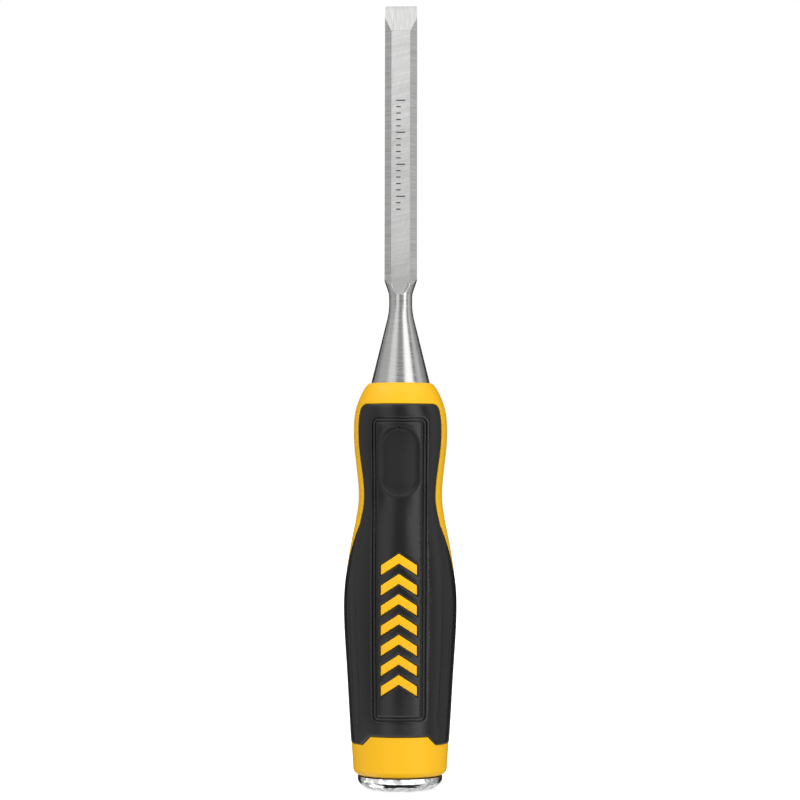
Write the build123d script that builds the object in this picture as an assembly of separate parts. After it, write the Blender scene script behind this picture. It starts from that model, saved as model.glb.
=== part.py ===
from build123d import *
from math import cos, radians, sin, tan
import os

# A 10 mm bench chisel standing on its strike cap. Millimetres, +Z up the tool towards the cutting
# edge. The origin is the centre of the strike face. The front, with the ground bevels and the
# emblem, faces -Y, and the blade's flat back faces +Y.

# Blade
BLADE_WIDTH = 10.0
BLADE_THICK = 3.9         # where the tip bevel begins
BLADE_TAPER = 1.7         # thickness gained from there to the root
BLADE_BACK_Y = 2.1        # the flat back, behind the tool's axis
SIDE_LAND = 1.95          # square edge left behind each side bevel, where the tip bevel begins
SIDE_BEVEL = 2.1          # width of each side bevel, seen from the front
TIP_ANGLE = 25.0          # primary bevel, measured from the flat back
TIP_Z = 244.1
GRIND_END_Z = 154.5       # where the ground faces begin to run out towards the neck
RUN_OUT_RADIUS = 3.0

# Neck, bolster cone and tang, all round
NECK_RADIUS = 3.585
NECK_LOW_Z = 150.8        # the narrowest stretch of the neck
NECK_HIGH_Z = 152.6
FLARE_ANGLE = 18.8        # neck widening up to the blade
FLARE_BLEND = 6.0
STOCK_RADIUS = 6.0        # bar that the blade is ground from
CONE_ANGLE = 13.9
CONE_BLEND = 20.9
CONE_BASE_RADIUS = 9.12
BOLSTER_SEAT = 6.0        # depth of the bolster inside the collar
TANG_RADIUS = 4.6
TANG_END_RADIUS = 4.0
TANG_END_LENGTH = 14.0    # parallel end pressed into the strike cap

# Handle
COLLAR_TOP_Z = 125.9
BUTT_Z = 4.65             # lower face of the handle, resting on the strike cap
BUTT_ROUND = 2.2
SHOULDER = (110.4, 14.5)  # height and radius where the side of the handle runs parallel
WAIST = (91.0, 12.93)
BULGE = (57.0, 17.42)
HANDLE_RUNS = [           # height and radius down the side, from one such place to the next
    [(COLLAR_TOP_Z, 9.85), (122.8, 12.0), (117.9, 13.85), SHOULDER],
    [SHOULDER, (100.4, 13.7), WAIST],
    [WAIST, (80.5, 14.48), (70.6, 16.27), BULGE],
    [BULGE, (38.2, 16.5), (18.3, 15.32), (BUTT_Z + BUTT_ROUND, 14.55)],
]
COLLAR_SLOPE = (0.72, -0.69)
BUTT_SLOPE = (-0.06, -1)

# Grip
GRIP_THICK = 2.2
GRIP_PROUD = 0.1          # the grip stands this far above the hard plastic
GRIP_TOP_Z = 119.3
GRIP_CORNER = 1.9
GRIP_BOTTOM_Z = 14.6      # lower edge at the sides
NOTCH_RISE = 2.7          # the lower edge steps up over the middle of the front and the back
NOTCH_TOP_HALF = 8.9
NOTCH_BASE_HALF = 11.35
SPEAR_HALF = 6.6          # half width of the strip that the grip leaves bare on each side
SPEAR_TAPER_Z = 82.0
SPEAR_TIP_Z = 61.5

FRAME_TOP_Z = 115.1
FRAME_BOTTOM_Z = 22.0
FRAME_TOP_HALF = 8.7
FRAME_BOTTOM_HALF = 8.3
FRAME_CORNER = 2.0
FRAME_BEAD = 0.75
GROOVE_WIDTH = 0.4
GROOVE_DEPTH = 0.35

THUMB_TOP_Z = 112.3
THUMB_BOTTOM_Z = 90.5
THUMB_WIDTH = 12.5
THUMB_DEPTH = 1.2

CHANNEL_ANGLES = (50.0, 65.0)   # from the front, round the side
CHANNEL_TOP_Z = 70.0
CHANNEL_BOTTOM_Z = 20.2
CHANNEL_DEPTH = 0.35

# Emblem: a column of chevrons
EMBLEM_TOP_Z = 73.5
EMBLEM_BOTTOM_Z = 29.8
EMBLEM_HALF = 5.6
CHEVRON_COUNT = 7
CHEVRON_RISE = 3.6        # the point stands this far above the outer ends
CHEVRON_BAR = 3.2         # height of the bar along the tool's axis
PAD_PROUD = 0.25

# Strike cap
CAP_RADIUS = 13.15
STRIKE_FACE_RADIUS = 7.2
CAP_EDGE_HEIGHT = 3.4     # the rounded edge, from the strike face up to the straight wall
HUB_RADIUS = 8.0
HUB_HEIGHT = 9.0
HUB_CHAMFER = 0.8
BORE_FLOOR_Z = 2.4

FAR = 40.0                # past the outside of the whole tool
OVERRUN = 2 * BLADE_THICK  # how far cutters run past the steel or the handle's surface


def turned(outline):
    """The solid that a closed (radius, height) outline sweeps about the Z axis."""
    return revolve(make_face(outline), Axis.Z)


def front_prism(outline):
    """A shape drawn in the XZ plane, run right through the tool from front to back."""
    return extrude(make_face(outline), amount=FAR, both=True)


def closed_line(plane, points):
    with BuildLine(plane) as line:
        Polyline(*points, close=True)
    return line.line


def barrel(inset=0.0):
    """Everything inside the handle's outer surface, drawn in by inset."""
    slopes = [COLLAR_SLOPE, (0, -1), (0, -1), (0, -1), BUTT_SLOPE]
    with BuildLine(Plane.XZ) as line:
        flanks = []
        for run, ends in zip(HANDLE_RUNS, zip(slopes, slopes[1:])):
            points = [(radius - inset, height) for height, radius in run]
            flanks.append(Spline(*points, tangents=ends))
        low = flanks[-1] @ 1
        foot = (low.X - BUTT_ROUND, BUTT_Z)
        TangentArc(low, foot, tangent=flanks[-1] % 1)
        Polyline(foot, (0, BUTT_Z), (0, COLLAR_TOP_Z), flanks[0] @ 0)
    return turned(line.line)


# ---------------------------------------------------------------- blade


def forging_blank():
    """Tang, bolster, cone, neck and flare as one turned blank, before grinding."""
    blend_drop = CONE_BLEND * sin(radians(CONE_ANGLE))
    blend_out = CONE_BLEND * (1 - cos(radians(CONE_ANGLE)))
    flare_rise = FLARE_BLEND * sin(radians(FLARE_ANGLE))
    flare_out = FLARE_BLEND * (1 - cos(radians(FLARE_ANGLE)))
    cone_top = (NECK_RADIUS + blend_out, NECK_LOW_Z - blend_drop)
    flare_foot = (NECK_RADIUS + flare_out, NECK_HIGH_Z + flare_rise)
    flare_height = (STOCK_RADIUS - flare_foot[0]) / tan(radians(FLARE_ANGLE))
    bolster_foot_z = COLLAR_TOP_Z - BOLSTER_SEAT
    shank_foot_z = BORE_FLOOR_Z + TANG_END_LENGTH
    with BuildLine(Plane.XZ) as line:
        tang = Polyline(
            (0, TIP_Z),
            (0, BORE_FLOOR_Z),
            (TANG_END_RADIUS, BORE_FLOOR_Z),
            (TANG_END_RADIUS, shank_foot_z),
            (TANG_RADIUS, bolster_foot_z),
            (CONE_BASE_RADIUS, bolster_foot_z),
            (CONE_BASE_RADIUS, COLLAR_TOP_Z),
            cone_top,
        )
        blend = TangentArc(tang @ 1, (NECK_RADIUS, NECK_LOW_Z), tangent=tang % 1)
        neck = Line(blend @ 1, (NECK_RADIUS, NECK_HIGH_Z))
        flare = TangentArc(neck @ 1, flare_foot, tangent=neck % 1)
        stock_foot = (STOCK_RADIUS, flare_foot[1] + flare_height)
        Polyline(flare @ 1, stock_foot, (STOCK_RADIUS, TIP_Z), (0, TIP_Z))
    return turned(line.line)


def ground_face(distance, heading, root_gain=0.0):
    """What grinding takes off beyond a plane beside the axis, with its round run-out at the neck.

    The distance is where the tip bevel begins. Towards the root the plane leans out by root_gain."""
    bevel_foot_z = TIP_Z - BLADE_THICK / tan(radians(TIP_ANGLE))
    lean = root_gain / (bevel_foot_z - GRIND_END_Z)
    above = TIP_Z + OVERRUN
    root = (distance + root_gain, GRIND_END_Z)
    cove = (root[0] + RUN_OUT_RADIUS, GRIND_END_Z - RUN_OUT_RADIUS)
    with BuildLine(Plane.XZ) as line:
        wall = Line((distance - lean * (above - bevel_foot_z), above), root)
        TangentArc(root, cove, tangent=wall % 1)
        Polyline(cove, (FAR, cove[1]), (FAR, above), wall @ 0)
    slab = extrude(make_face(line.line), amount=FAR, both=True)
    return slab.rotate(Axis.Z, heading)


def tip_bevel():
    """The wedge taken off the front of the tip, leaving the edge at the flat back."""
    drop = BLADE_THICK + OVERRUN
    edge = (BLADE_BACK_Y, TIP_Z)
    foot = (BLADE_BACK_Y - drop, TIP_Z - drop / tan(radians(TIP_ANGLE)))
    wedge = closed_line(Plane.YZ, [edge, foot, (-FAR, foot[1]), (-FAR, TIP_Z)])
    return extrude(make_face(wedge), amount=FAR, both=True)


def blade():
    front_y = BLADE_BACK_Y - BLADE_THICK
    land_y = BLADE_BACK_Y - SIDE_LAND
    bevel_drop = land_y - front_y
    bevel_length = (SIDE_BEVEL**2 + bevel_drop**2) ** 0.5
    bevel_x = bevel_drop / bevel_length
    bevel_y = -SIDE_BEVEL / bevel_length
    bevel_distance = BLADE_WIDTH / 2 * bevel_x + land_y * bevel_y
    bevel_heading = Vector(bevel_x, bevel_y, 0).get_signed_angle(Vector(1, 0, 0), Vector(0, 0, -1))

    steel = forging_blank()
    steel -= ground_face(-front_y, -90, BLADE_TAPER)
    steel -= ground_face(BLADE_BACK_Y, 90)
    for heading in (0, 180):
        steel -= ground_face(BLADE_WIDTH / 2, heading)
    for heading in (bevel_heading, 180 - bevel_heading):
        steel -= ground_face(bevel_distance, heading, -BLADE_TAPER * bevel_y)
    return steel - tip_bevel()


# ---------------------------------------------------------------- strike cap


def strike_cap():
    with BuildLine(Plane.XZ) as line:
        face = Line((0, 0), (STRIKE_FACE_RADIUS, 0))
        edge_width = CAP_RADIUS - STRIKE_FACE_RADIUS
        edge_centre = (STRIKE_FACE_RADIUS, CAP_EDGE_HEIGHT)
        EllipticalCenterArc(edge_centre, edge_width, CAP_EDGE_HEIGHT, -90, arc_size=90)
        Polyline(
            (CAP_RADIUS, CAP_EDGE_HEIGHT),
            (CAP_RADIUS, BUTT_Z),
            (HUB_RADIUS, BUTT_Z),
            (HUB_RADIUS, BUTT_Z + HUB_HEIGHT - HUB_CHAMFER),
            (HUB_RADIUS - HUB_CHAMFER, BUTT_Z + HUB_HEIGHT),
            (TANG_END_RADIUS, BUTT_Z + HUB_HEIGHT),
            (TANG_END_RADIUS, BORE_FLOOR_Z),
            (0, BORE_FLOOR_Z),
            face @ 0,
        )
    return turned(line.line)


# ---------------------------------------------------------------- grip


def spear_window():
    """The bare strip on each side: parallel, then tapering to a point, and open at the collar."""
    corner_z = GRIP_TOP_Z - GRIP_CORNER
    corner_y = SPEAR_HALF + GRIP_CORNER
    with BuildLine(Plane.YZ) as line:
        right = Polyline((0, SPEAR_TIP_Z), (SPEAR_HALF, SPEAR_TAPER_Z), (SPEAR_HALF, corner_z))
        TangentArc(right @ 1, (corner_y, GRIP_TOP_Z), tangent=right % 1)
        left = Polyline((0, SPEAR_TIP_Z), (-SPEAR_HALF, SPEAR_TAPER_Z), (-SPEAR_HALF, corner_z))
        TangentArc(left @ 1, (-corner_y, GRIP_TOP_Z), tangent=left % 1)
        Line((corner_y, GRIP_TOP_Z), (-corner_y, GRIP_TOP_Z))
    return extrude(make_face(line.line), amount=FAR, both=True)


def grip_zone():
    """Where the grip covers the handle, seen from the front."""
    step_z = GRIP_BOTTOM_Z + NOTCH_RISE
    outline = [
        (-FAR, GRIP_TOP_Z),
        (-FAR, GRIP_BOTTOM_Z),
        (-NOTCH_BASE_HALF, GRIP_BOTTOM_Z),
        (-NOTCH_TOP_HALF, step_z),
        (NOTCH_TOP_HALF, step_z),
        (NOTCH_BASE_HALF, GRIP_BOTTOM_Z),
        (FAR, GRIP_BOTTOM_Z),
        (FAR, GRIP_TOP_Z),
    ]
    return front_prism(closed_line(Plane.XZ, outline))


def frame_ring(outer, width):
    """A ring that follows the bead frame, from outer inside its edge to outer + width."""

    def panel(inset):
        top, bottom = FRAME_TOP_Z - inset, FRAME_BOTTOM_Z + inset
        top_half, bottom_half = FRAME_TOP_HALF - inset, FRAME_BOTTOM_HALF - inset
        corners = [(-top_half, top), (-bottom_half, bottom), (bottom_half, bottom), (top_half, top)]
        with BuildLine(Plane.XZ) as line:
            FilletPolyline(*corners, radius=FRAME_CORNER - inset, close=True)
        return front_prism(line.line)

    return panel(outer) - panel(outer + width)


def frame_grooves():
    inner = GROOVE_WIDTH + FRAME_BEAD
    return frame_ring(0, GROOVE_WIDTH) + frame_ring(inner, GROOVE_WIDTH)


def thumb_pocket():
    radius = THUMB_WIDTH / 2
    upper = (0, THUMB_TOP_Z - radius)
    lower = (0, THUMB_BOTTOM_Z + radius)
    with BuildLine(Plane.XZ) as line:
        top = CenterArc(upper, radius, 0, 180)
        bottom = CenterArc(lower, radius, 180, 180)
        Line(top @ 1, bottom @ 0)
        Line(bottom @ 1, top @ 0)
    return front_prism(line.line)


def side_channels():
    """Four shallow channels down the lower grip, one beside each edge of the sides."""
    start, end = CHANNEL_ANGLES
    with BuildLine(Plane.XY.offset(CHANNEL_BOTTOM_Z)) as line:
        arc = CenterArc((0, 0), FAR, start - 90, end - start)
        Polyline(arc @ 1, (0, 0), arc @ 0)
    sector = extrude(make_face(line.line), amount=CHANNEL_TOP_Z - CHANNEL_BOTTOM_Z)
    pair = sector + sector.mirror(Plane.YZ)
    return pair + pair.mirror(Plane.XZ)


def chevrons():
    """The emblem's outlines, one prism through the front and the back for each chevron."""
    pitch = (EMBLEM_TOP_Z - EMBLEM_BOTTOM_Z - CHEVRON_RISE - CHEVRON_BAR) / (CHEVRON_COUNT - 1)
    prisms = []
    for index in range(CHEVRON_COUNT):
        foot = EMBLEM_BOTTOM_Z + index * pitch
        outline = [
            (-EMBLEM_HALF, foot),
            (0, foot + CHEVRON_RISE),
            (EMBLEM_HALF, foot),
            (EMBLEM_HALF, foot + CHEVRON_BAR),
            (0, foot + CHEVRON_RISE + CHEVRON_BAR),
            (-EMBLEM_HALF, foot + CHEVRON_BAR),
        ]
        prisms.append(front_prism(closed_line(Plane.XZ, outline)))
    return prisms


def outside(prism, depth):
    """The part of a prism that lies further out than depth under the handle's surface."""
    return prism - barrel(depth)


def grip_mould():
    """The room that the grip fills, open outwards past the handle's surface."""
    return outside(grip_zone() - spear_window(), GRIP_THICK)


def grip_overmold():
    rubber = barrel(-GRIP_PROUD) & grip_mould()
    rubber -= outside(frame_grooves(), GROOVE_DEPTH)
    rubber -= outside(thumb_pocket(), THUMB_DEPTH)
    rubber -= outside(side_channels(), CHANNEL_DEPTH)
    for window in chevrons():
        rubber -= window
    return rubber


# ---------------------------------------------------------------- handle core


def handle_core(steel, cap):
    """The hard plastic body: the whole handle less the room for the grip, the forging and the cap."""
    body = barrel() - grip_mould()
    for prism in chevrons():
        body += outside(prism & barrel(-PAD_PROUD), GRIP_THICK + OVERRUN / 2)
    return body - steel - cap


def write_parts():
    os.makedirs("parts", exist_ok=True)
    steel = blade()
    cap = strike_cap()
    parts = {
        "blade": steel,
        "strike_cap": cap,
        "handle_core": handle_core(steel, cap),
        "grip_overmold": grip_overmold(),
    }
    for name, solid in parts.items():
        export_step(solid, f"parts/{name}.step")


write_parts()
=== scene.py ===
from math import atan2, ceil, cos, pi, radians, sin, sqrt, tan

import bmesh
import bpy
import numpy as np
from mathutils import Matrix, Vector
from mathutils.geometry import delaunay_2d_cdt
from mathutils.kdtree import KDTree


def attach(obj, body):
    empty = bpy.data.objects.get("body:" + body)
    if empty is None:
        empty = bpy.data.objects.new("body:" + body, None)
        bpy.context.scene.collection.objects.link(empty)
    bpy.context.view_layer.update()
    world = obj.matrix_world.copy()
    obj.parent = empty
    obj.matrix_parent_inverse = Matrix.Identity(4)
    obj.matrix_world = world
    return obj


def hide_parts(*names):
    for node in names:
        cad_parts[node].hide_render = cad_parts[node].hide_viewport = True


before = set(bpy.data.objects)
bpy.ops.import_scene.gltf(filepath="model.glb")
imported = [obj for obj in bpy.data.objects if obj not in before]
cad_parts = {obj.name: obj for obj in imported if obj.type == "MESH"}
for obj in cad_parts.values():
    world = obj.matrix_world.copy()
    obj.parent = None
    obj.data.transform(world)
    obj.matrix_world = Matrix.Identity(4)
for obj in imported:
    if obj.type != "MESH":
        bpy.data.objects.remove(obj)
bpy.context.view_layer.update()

# The bench chisel's looks. Shapes are worked out in millimetres in the CAD's own frame (+Z to the
# cutting edge, front -Y, origin at the centre of the strike face) and stored in metres.

MM = 0.001
WELD = 0.002              # points closer than this are joined
SMALLEST_EDGE = 0.001     # shorter edges are dissolved

# ---------------------------------------------------------------- sizes, from the CAD

BLADE_HALF = 5.0
BLADE_FRONT_Y = -1.8
BLADE_BACK_Y = 2.1
BLADE_TAPER = 1.7         # thickness gained from the tip bevel to the root
LAND_Y = 0.15             # where the side lands meet the side bevels, at the tip bevel
TOP_HALF = 2.9            # half width of the flat top face
TIP_Z = 244.1
TIP_SLOPE = tan(radians(25))
EDGE_THICK = 0.04
GRIND_END_Z = 154.5
RUN_OUT_RADIUS = 3.0

NECK_RADIUS = 3.585
NECK_LOW_Z = 150.8
NECK_HIGH_Z = 152.6
FLARE_BLEND = 6.0
FLARE_ANGLE = radians(18.8)
STOCK_RADIUS = 6.0
CONE_BLEND = 20.9
CONE_ANGLE = radians(13.9)
CONE_BASE_RADIUS = 9.12
SEAT_Z = 119.9
TANG_RADIUS = 4.6
TANG_END_RADIUS = 4.0
TANG_END_Z = 16.4
BORE_FLOOR_Z = 2.4

COLLAR_TOP_Z = 125.9
BUTT_Z = 4.65
HANDLE_PROFILE = [        # height, radius
    (6.85, 14.55), (18.3, 15.32), (38.2, 16.5), (57.0, 17.42), (70.6, 16.27), (80.5, 14.48),
    (91.0, 12.93), (100.4, 13.7), (110.4, 14.5), (117.9, 13.85), (122.8, 12.0), (COLLAR_TOP_Z, 9.85),
]
PROFILE_SLOPES = {0: 0.06, 3: 0.0, 6: 0.0, 8: 0.0, 11: -1.04}   # where the outline's slope is known

GRIP_THICK = 2.2
GRIP_TOP_Z = 119.3
GRIP_BOTTOM_Z = 14.6
NOTCH_TOP_Z = 17.3
NOTCH_TOP_HALF = 8.9
NOTCH_BASE_HALF = 11.35
SPEAR_HALF = 6.6
SPEAR_CORNER = 1.9
SPEAR_TAPER_Z = 82.0
SPEAR_TIP_Z = 61.5

FRAME_TOP_Z = 115.1
FRAME_BOTTOM_Z = 22.0
FRAME_TOP_HALF = 8.7
FRAME_BOTTOM_HALF = 8.3
FRAME_CORNER = 2.0

THUMB_TOP_Z = 112.3
THUMB_BOTTOM_Z = 90.5
THUMB_RADIUS = 6.25
THUMB_DEPTH = 1.2
THUMB_RAMP = 3.4

CHANNEL_ANGLES = (radians(50), radians(65))
CHANNEL_TOP_Z = 70.0
CHANNEL_BOTTOM_Z = 20.2
CHANNEL_DEPTH = 0.3

EMBLEM_TOP_Z = 73.5
EMBLEM_BOTTOM_Z = 29.8
EMBLEM_HALF = 5.6
CHEVRON_COUNT = 7
CHEVRON_RISE = 3.6
CHEVRON_BAR = 3.2

CAP_RADIUS = 13.15
STRIKE_FACE_RADIUS = 7.2
CAP_EDGE_HEIGHT = 3.4
HUB_RADIUS = 8.0
HUB_TOP_Z = 13.65
HUB_CHAMFER = 0.8

# ---------------------------------------------------------------- mesh helpers


def add_piece(name, points, faces, replaces, materials, zones=None, sharp=30):
    """A shown piece of the chisel: points in millimetres, welded, smooth but for its sharp edges.

    zones gives each face's material, and sharp is the smallest angle of a sharp edge in degrees."""
    mesh = bpy.data.meshes.new(name)
    mesh.from_pydata((np.asarray(points) * MM).tolist(), [], faces)
    if zones is not None:
        mesh.polygons.foreach_set("material_index", zones)
    work = bmesh.new()
    work.from_mesh(mesh)
    bmesh.ops.remove_doubles(work, verts=work.verts, dist=WELD * MM)
    bmesh.ops.dissolve_degenerate(work, edges=work.edges, dist=SMALLEST_EDGE * MM)
    bmesh.ops.recalc_face_normals(work, faces=work.faces)
    work.to_mesh(mesh)
    work.free()
    for material in materials:
        mesh.materials.append(material)
    mesh.shade_smooth()
    mesh.set_sharp_from_angle(angle=radians(sharp))
    piece = bpy.data.objects.new(name, mesh)
    bpy.context.scene.collection.objects.link(piece)
    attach(piece, "root")
    if replaces:
        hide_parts(replaces)
    return piece


def ring_faces(rings, count, start=0, wrap=True):
    """Quads between neighbouring rings of count points each."""
    last = count if wrap else count - 1
    return [
        (
            start + ring * count + k,
            start + ring * count + (k + 1) % count,
            start + (ring + 1) * count + (k + 1) % count,
            start + (ring + 1) * count + k,
        )
        for ring in range(rings - 1)
        for k in range(last)
    ]


def spline_slopes(points, known):
    """Slopes at the points of the smooth cubic curve through them, some of them given."""
    heights = np.array([p[0] for p in points])
    radii = np.array([p[1] for p in points])
    gaps = np.diff(heights)
    rises = np.diff(radii) / gaps
    count = len(points)
    matrix = np.zeros((count, count))
    target = np.zeros(count)
    for k in range(count):
        if k in known:
            matrix[k, k] = 1
            target[k] = known[k]
        else:
            matrix[k, k - 1] = 1 / gaps[k - 1]
            matrix[k, k] = 2 / gaps[k - 1] + 2 / gaps[k]
            matrix[k, k + 1] = 1 / gaps[k]
            target[k] = 3 * (rises[k - 1] / gaps[k - 1] + rises[k] / gaps[k])
    return np.linalg.solve(matrix, target)


PROFILE_Z = np.array([p[0] for p in HANDLE_PROFILE])
PROFILE_R = np.array([p[1] for p in HANDLE_PROFILE])
PROFILE_SLOPE = spline_slopes(HANDLE_PROFILE, PROFILE_SLOPES)


def handle_radius(z):
    """The handle's radius at height z, for a number or an array."""
    z = np.asarray(z, float)
    k = np.clip(np.searchsorted(PROFILE_Z, z) - 1, 0, len(PROFILE_Z) - 2)
    gap = PROFILE_Z[k + 1] - PROFILE_Z[k]
    t = (z - PROFILE_Z[k]) / gap
    return (
        (1 + 2 * t) * (1 - t) ** 2 * PROFILE_R[k]
        + t * (1 - t) ** 2 * gap * PROFILE_SLOPE[k]
        + t**2 * (3 - 2 * t) * PROFILE_R[k + 1]
        - t**2 * (1 - t) * gap * PROFILE_SLOPE[k + 1]
    )


# ---------------------------------------------------------------- sheets wrapped on the handle

# A quarter of the handle, from the front (u = 0) round to the side (u = SHEET_WIDTH), is laid out
# flat as (u, z), cut into triangles along every edge of the design, raised by each point's level
# above or below the handle's surface, and then wrapped round and mirrored to all four quarters.

SHEET_RADIUS = 15.0
SHEET_WIDTH = SHEET_RADIUS * pi / 2
SHEET_MARGIN = 1e-4       # keeps points on the sheet's borders clearly inside or outside an outline
ROW_SHARE = 0.87          # row spacing over point spacing in an even lattice of triangles
CLEARANCE = 0.45          # lattice points closer to a contour than this share of the spacing go
MERGE = 1e-7
ARC_STEPS = 10
THUMB_ARC_STEPS = 24


COARSE_STEP = 0.5
FINE_STEP = 0.4


def dense(points, step=COARSE_STEP):
    """The same line with points no further apart than step."""
    line = [np.asarray(points[0], float)]
    for start, end in zip(points, points[1:]):
        start, end = np.asarray(start, float), np.asarray(end, float)
        count = max(1, ceil(np.linalg.norm(end - start) / step))
        line += [start + (end - start) * k / count for k in range(1, count + 1)]
    return np.array(line)


def arc(centre, radius, start, end, count=ARC_STEPS):
    """Points on an arc, angles in degrees."""
    angles = np.radians(np.linspace(start, end, count + 1))
    return [(centre[0] + radius * cos(a), centre[1] + radius * sin(a)) for a in angles]


def offset(points, distance):
    """The line moved to its left. An open line's ends stay on the mirror line through them."""
    points = np.asarray(points, float)
    runs = np.diff(points, axis=0)
    runs /= np.linalg.norm(runs, axis=1)[:, None]
    mirror = np.array([1.0, -1.0])
    before = np.vstack([runs[:1] * mirror, runs])
    after = np.vstack([runs, runs[-1:] * mirror])
    left_before = np.column_stack([-before[:, 1], before[:, 0]])
    left_after = np.column_stack([-after[:, 1], after[:, 0]])
    middle = left_before + left_after
    middle /= np.sum(middle * left_before, axis=1)[:, None]
    return points + middle * distance


def from_front(line):
    """(x, z) seen from the front, to the sheet."""
    angle = np.arcsin(np.clip(line[:, 0] / handle_radius(line[:, 1]), -1, 1))
    return np.column_stack([angle * SHEET_RADIUS, line[:, 1]])


def from_side(line):
    """(distance in front of the axis, z) seen from the side, to the sheet."""
    angle = np.arccos(np.clip(line[:, 0] / handle_radius(line[:, 1]), -1, 1))
    return np.column_stack([angle * SHEET_RADIUS, line[:, 1]])


def by_angle(line):
    """(angle from the front, z) to the sheet."""
    return np.column_stack([line[:, 0] * SHEET_RADIUS, line[:, 1]])


def upper_edge(inset):
    """The grip's edge along the collar and down the spear to its tip, moved into the grip."""
    centre = (SPEAR_HALF + SPEAR_CORNER, GRIP_TOP_Z - SPEAR_CORNER)
    spear = arc(centre, SPEAR_CORNER, 90, 180) + [(SPEAR_HALF, SPEAR_TAPER_Z), (0, SPEAR_TIP_Z)]
    side = from_side(dense(offset(spear, inset)))
    collar = dense([(0, side[0, 1]), side[0]])
    return np.vstack([collar[:-1], side])


def lower_edge(inset):
    """The grip's edge above the butt, stepped up over the front, moved into the grip."""
    notch = [(0, NOTCH_TOP_Z), (NOTCH_TOP_HALF, NOTCH_TOP_Z), (NOTCH_BASE_HALF, GRIP_BOTTOM_Z),
             (NOTCH_BASE_HALF + 1, GRIP_BOTTOM_Z)]
    front = from_front(dense(offset(notch, inset)))
    return np.vstack([front[:-1], dense([front[-1], (SHEET_WIDTH, front[-1, 1])])])


def frame_line(inset):
    """Half of the bead frame's outline."""
    lower = (FRAME_BOTTOM_HALF - FRAME_CORNER, FRAME_BOTTOM_Z + FRAME_CORNER)
    upper = (FRAME_TOP_HALF - FRAME_CORNER, FRAME_TOP_Z - FRAME_CORNER)
    outline = [(0, FRAME_BOTTOM_Z)] + arc(lower, FRAME_CORNER, -90, 0)
    outline += arc(upper, FRAME_CORNER, 0, 90) + [(0, FRAME_TOP_Z)]
    return from_front(dense(offset(outline, inset)))


def thumb_line(inset):
    """Half of the thumb recess's outline."""
    lower = (0, THUMB_BOTTOM_Z + THUMB_RADIUS)
    upper = (0, THUMB_TOP_Z - THUMB_RADIUS)
    outline = arc(lower, THUMB_RADIUS, -90, 0, THUMB_ARC_STEPS)
    outline += arc(upper, THUMB_RADIUS, 0, 90, THUMB_ARC_STEPS)
    return from_front(dense(offset(outline, inset), FINE_STEP))


def channel_line(inset):
    """The outline of a side channel, closed."""
    near, far = CHANNEL_ANGLES
    spread = inset / SHEET_RADIUS
    low, high = CHANNEL_BOTTOM_Z + inset, CHANNEL_TOP_Z - inset
    near, far = near + spread, far - spread
    corners = [(near, low), (far, low), (far, high), (near, high), (near, low)]
    sheet_corners = by_angle(np.array(corners))
    return dense(sheet_corners)


def chevron_line(index, inset):
    """Half of one chevron's outline."""
    pitch = (EMBLEM_TOP_Z - EMBLEM_BOTTOM_Z - CHEVRON_RISE - CHEVRON_BAR) / (CHEVRON_COUNT - 1)
    foot = EMBLEM_BOTTOM_Z + index * pitch
    outline = [(0, foot + CHEVRON_RISE), (EMBLEM_HALF, foot), (EMBLEM_HALF, foot + CHEVRON_BAR),
               (0, foot + CHEVRON_RISE + CHEVRON_BAR)]
    return from_front(dense(offset(outline, inset), FINE_STEP))


def within(points, outline):
    """Which points lie inside a closed outline."""
    inside = np.zeros(len(points), bool)
    u = np.clip(points[:, 0], SHEET_MARGIN, SHEET_WIDTH - SHEET_MARGIN)
    z = points[:, 1]
    for (u1, z1), (u2, z2) in zip(outline, np.roll(outline, -1, axis=0)):
        if z1 == z2:
            continue
        crosses = (z1 > z) != (z2 > z)
        inside ^= crosses & (u < (u2 - u1) * (z - z1) / (z2 - z1) + u1)
    return inside


def lattice(low, high, spacing):
    """Even points over the quarter sheet, with a row along each of its borders."""
    columns = ceil(SHEET_WIDTH / spacing)
    rows = ceil((high - low) / (spacing * ROW_SHARE))
    points = []
    for row in range(rows + 1):
        z = low + (high - low) * row / rows
        inner = row % 2 and 0 < row < rows
        across = np.arange(columns + 1) / columns * SHEET_WIDTH
        if inner:
            across = np.concatenate([[0], (across[:-1] + across[1:]) / 2, [SHEET_WIDTH]])
        points += [(u, z) for u in across]
    return np.array(points)


def flat_sheet(contours, spacing, low, high, level_at, keep):
    """Triangulates the quarter sheet along its contours, and keeps the triangles that keep says.

    contours are (line, levels), and level_at gives the levels of the points between them. Returns the
    points with their levels, the triangles, and where each contour's points went."""
    spread = lattice(low, high, spacing)
    lines = [line for line, _ in contours]
    if lines:
        placed = np.vstack(lines)
        tree = KDTree(len(placed))
        for k, (u, z) in enumerate(placed):
            tree.insert((u, z, 0), k)
        tree.balance()
        clear = [tree.find((u, z, 0))[2] > CLEARANCE * spacing for u, z in spread]
        spread = spread[clear]
    points = np.vstack(lines + [spread])
    levels = np.concatenate([level for _, level in contours] + [level_at(spread)])
    edges, starts, total = [], [], 0
    for line in lines:
        starts.append(total)
        edges += [(total + k, total + k + 1) for k in range(len(line) - 1)]
        total += len(line)
    placed, _, triangles, sources, _, _ = delaunay_2d_cdt(
        [Vector(p) for p in points], edges, [], 0, MERGE
    )
    flat = np.array([(p.x, p.y) for p in placed])
    heights = np.zeros(len(flat))
    went_to = np.zeros(len(points), int)
    for k, origin in enumerate(sources):
        if origin:
            heights[k] = levels[origin[0]]
            went_to[origin] = k
    centres = np.array([flat[list(t)].mean(axis=0) for t in triangles])
    kept = keep(centres)
    triangles = [tuple(t) for t, good in zip(triangles, kept) if good]
    rims = [went_to[start:start + len(line)] for start, line in zip(starts, lines)]
    return np.column_stack([flat, heights]), triangles, rims


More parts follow.
